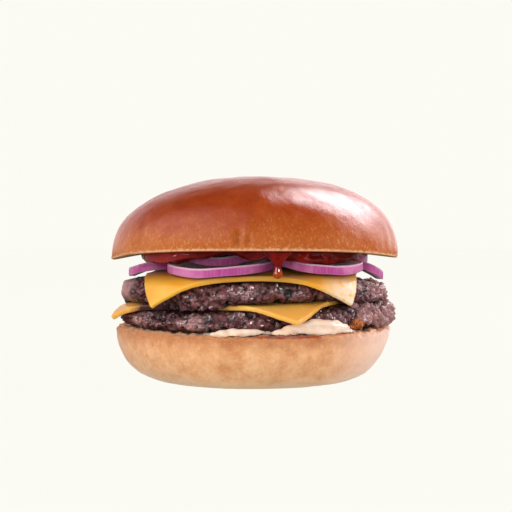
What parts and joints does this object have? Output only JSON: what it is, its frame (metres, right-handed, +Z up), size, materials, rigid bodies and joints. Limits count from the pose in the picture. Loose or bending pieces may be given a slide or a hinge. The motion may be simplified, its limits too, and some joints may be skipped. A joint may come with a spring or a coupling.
{
  "type": "double cheeseburger",
  "caption": "Double cheeseburger: glossy domed bun over red onion rings and ketchup, beef patties with draped cheese slices, burger sauce and a pale heel.",
  "frame": {"origin": "middle of the flat underside of the bottom bun", "axes": "+Z up, from the bottom bun towards the top bun; -Y towards the front of the picture, +X towards its right"},
  "size_m": [0.1145, 0.1149, 0.0792],
  "materials": {
    "heel": "matt baked crumb",
    "crown": "glazed crust",
    "patty": "coarse seared meat",
    "cheese": "softened, slight sheen",
    "onion": "moist, slight sheen",
    "ketchup": "wet gloss",
    "sauce": "creamy, slight gloss"
  },
  "bodies": {
    "root": {"heel": "heel", "sauce": "sauce", "patty_lower": "patty", "cheese_lower": "cheese", "patty_upper": "patty", "cheese_upper": "cheese", "onion_ring_1": "onion", "onion_ring_2": "onion", "onion_ring_3": "onion", "onion_ring_4": "onion", "onion_ring_5": "onion", "onion_ring_6": "onion", "onion_ring_7": "onion", "onion_ring_8": "onion", "ketchup": "ketchup", "crown": "crown"}
  },
  "joints": []
}
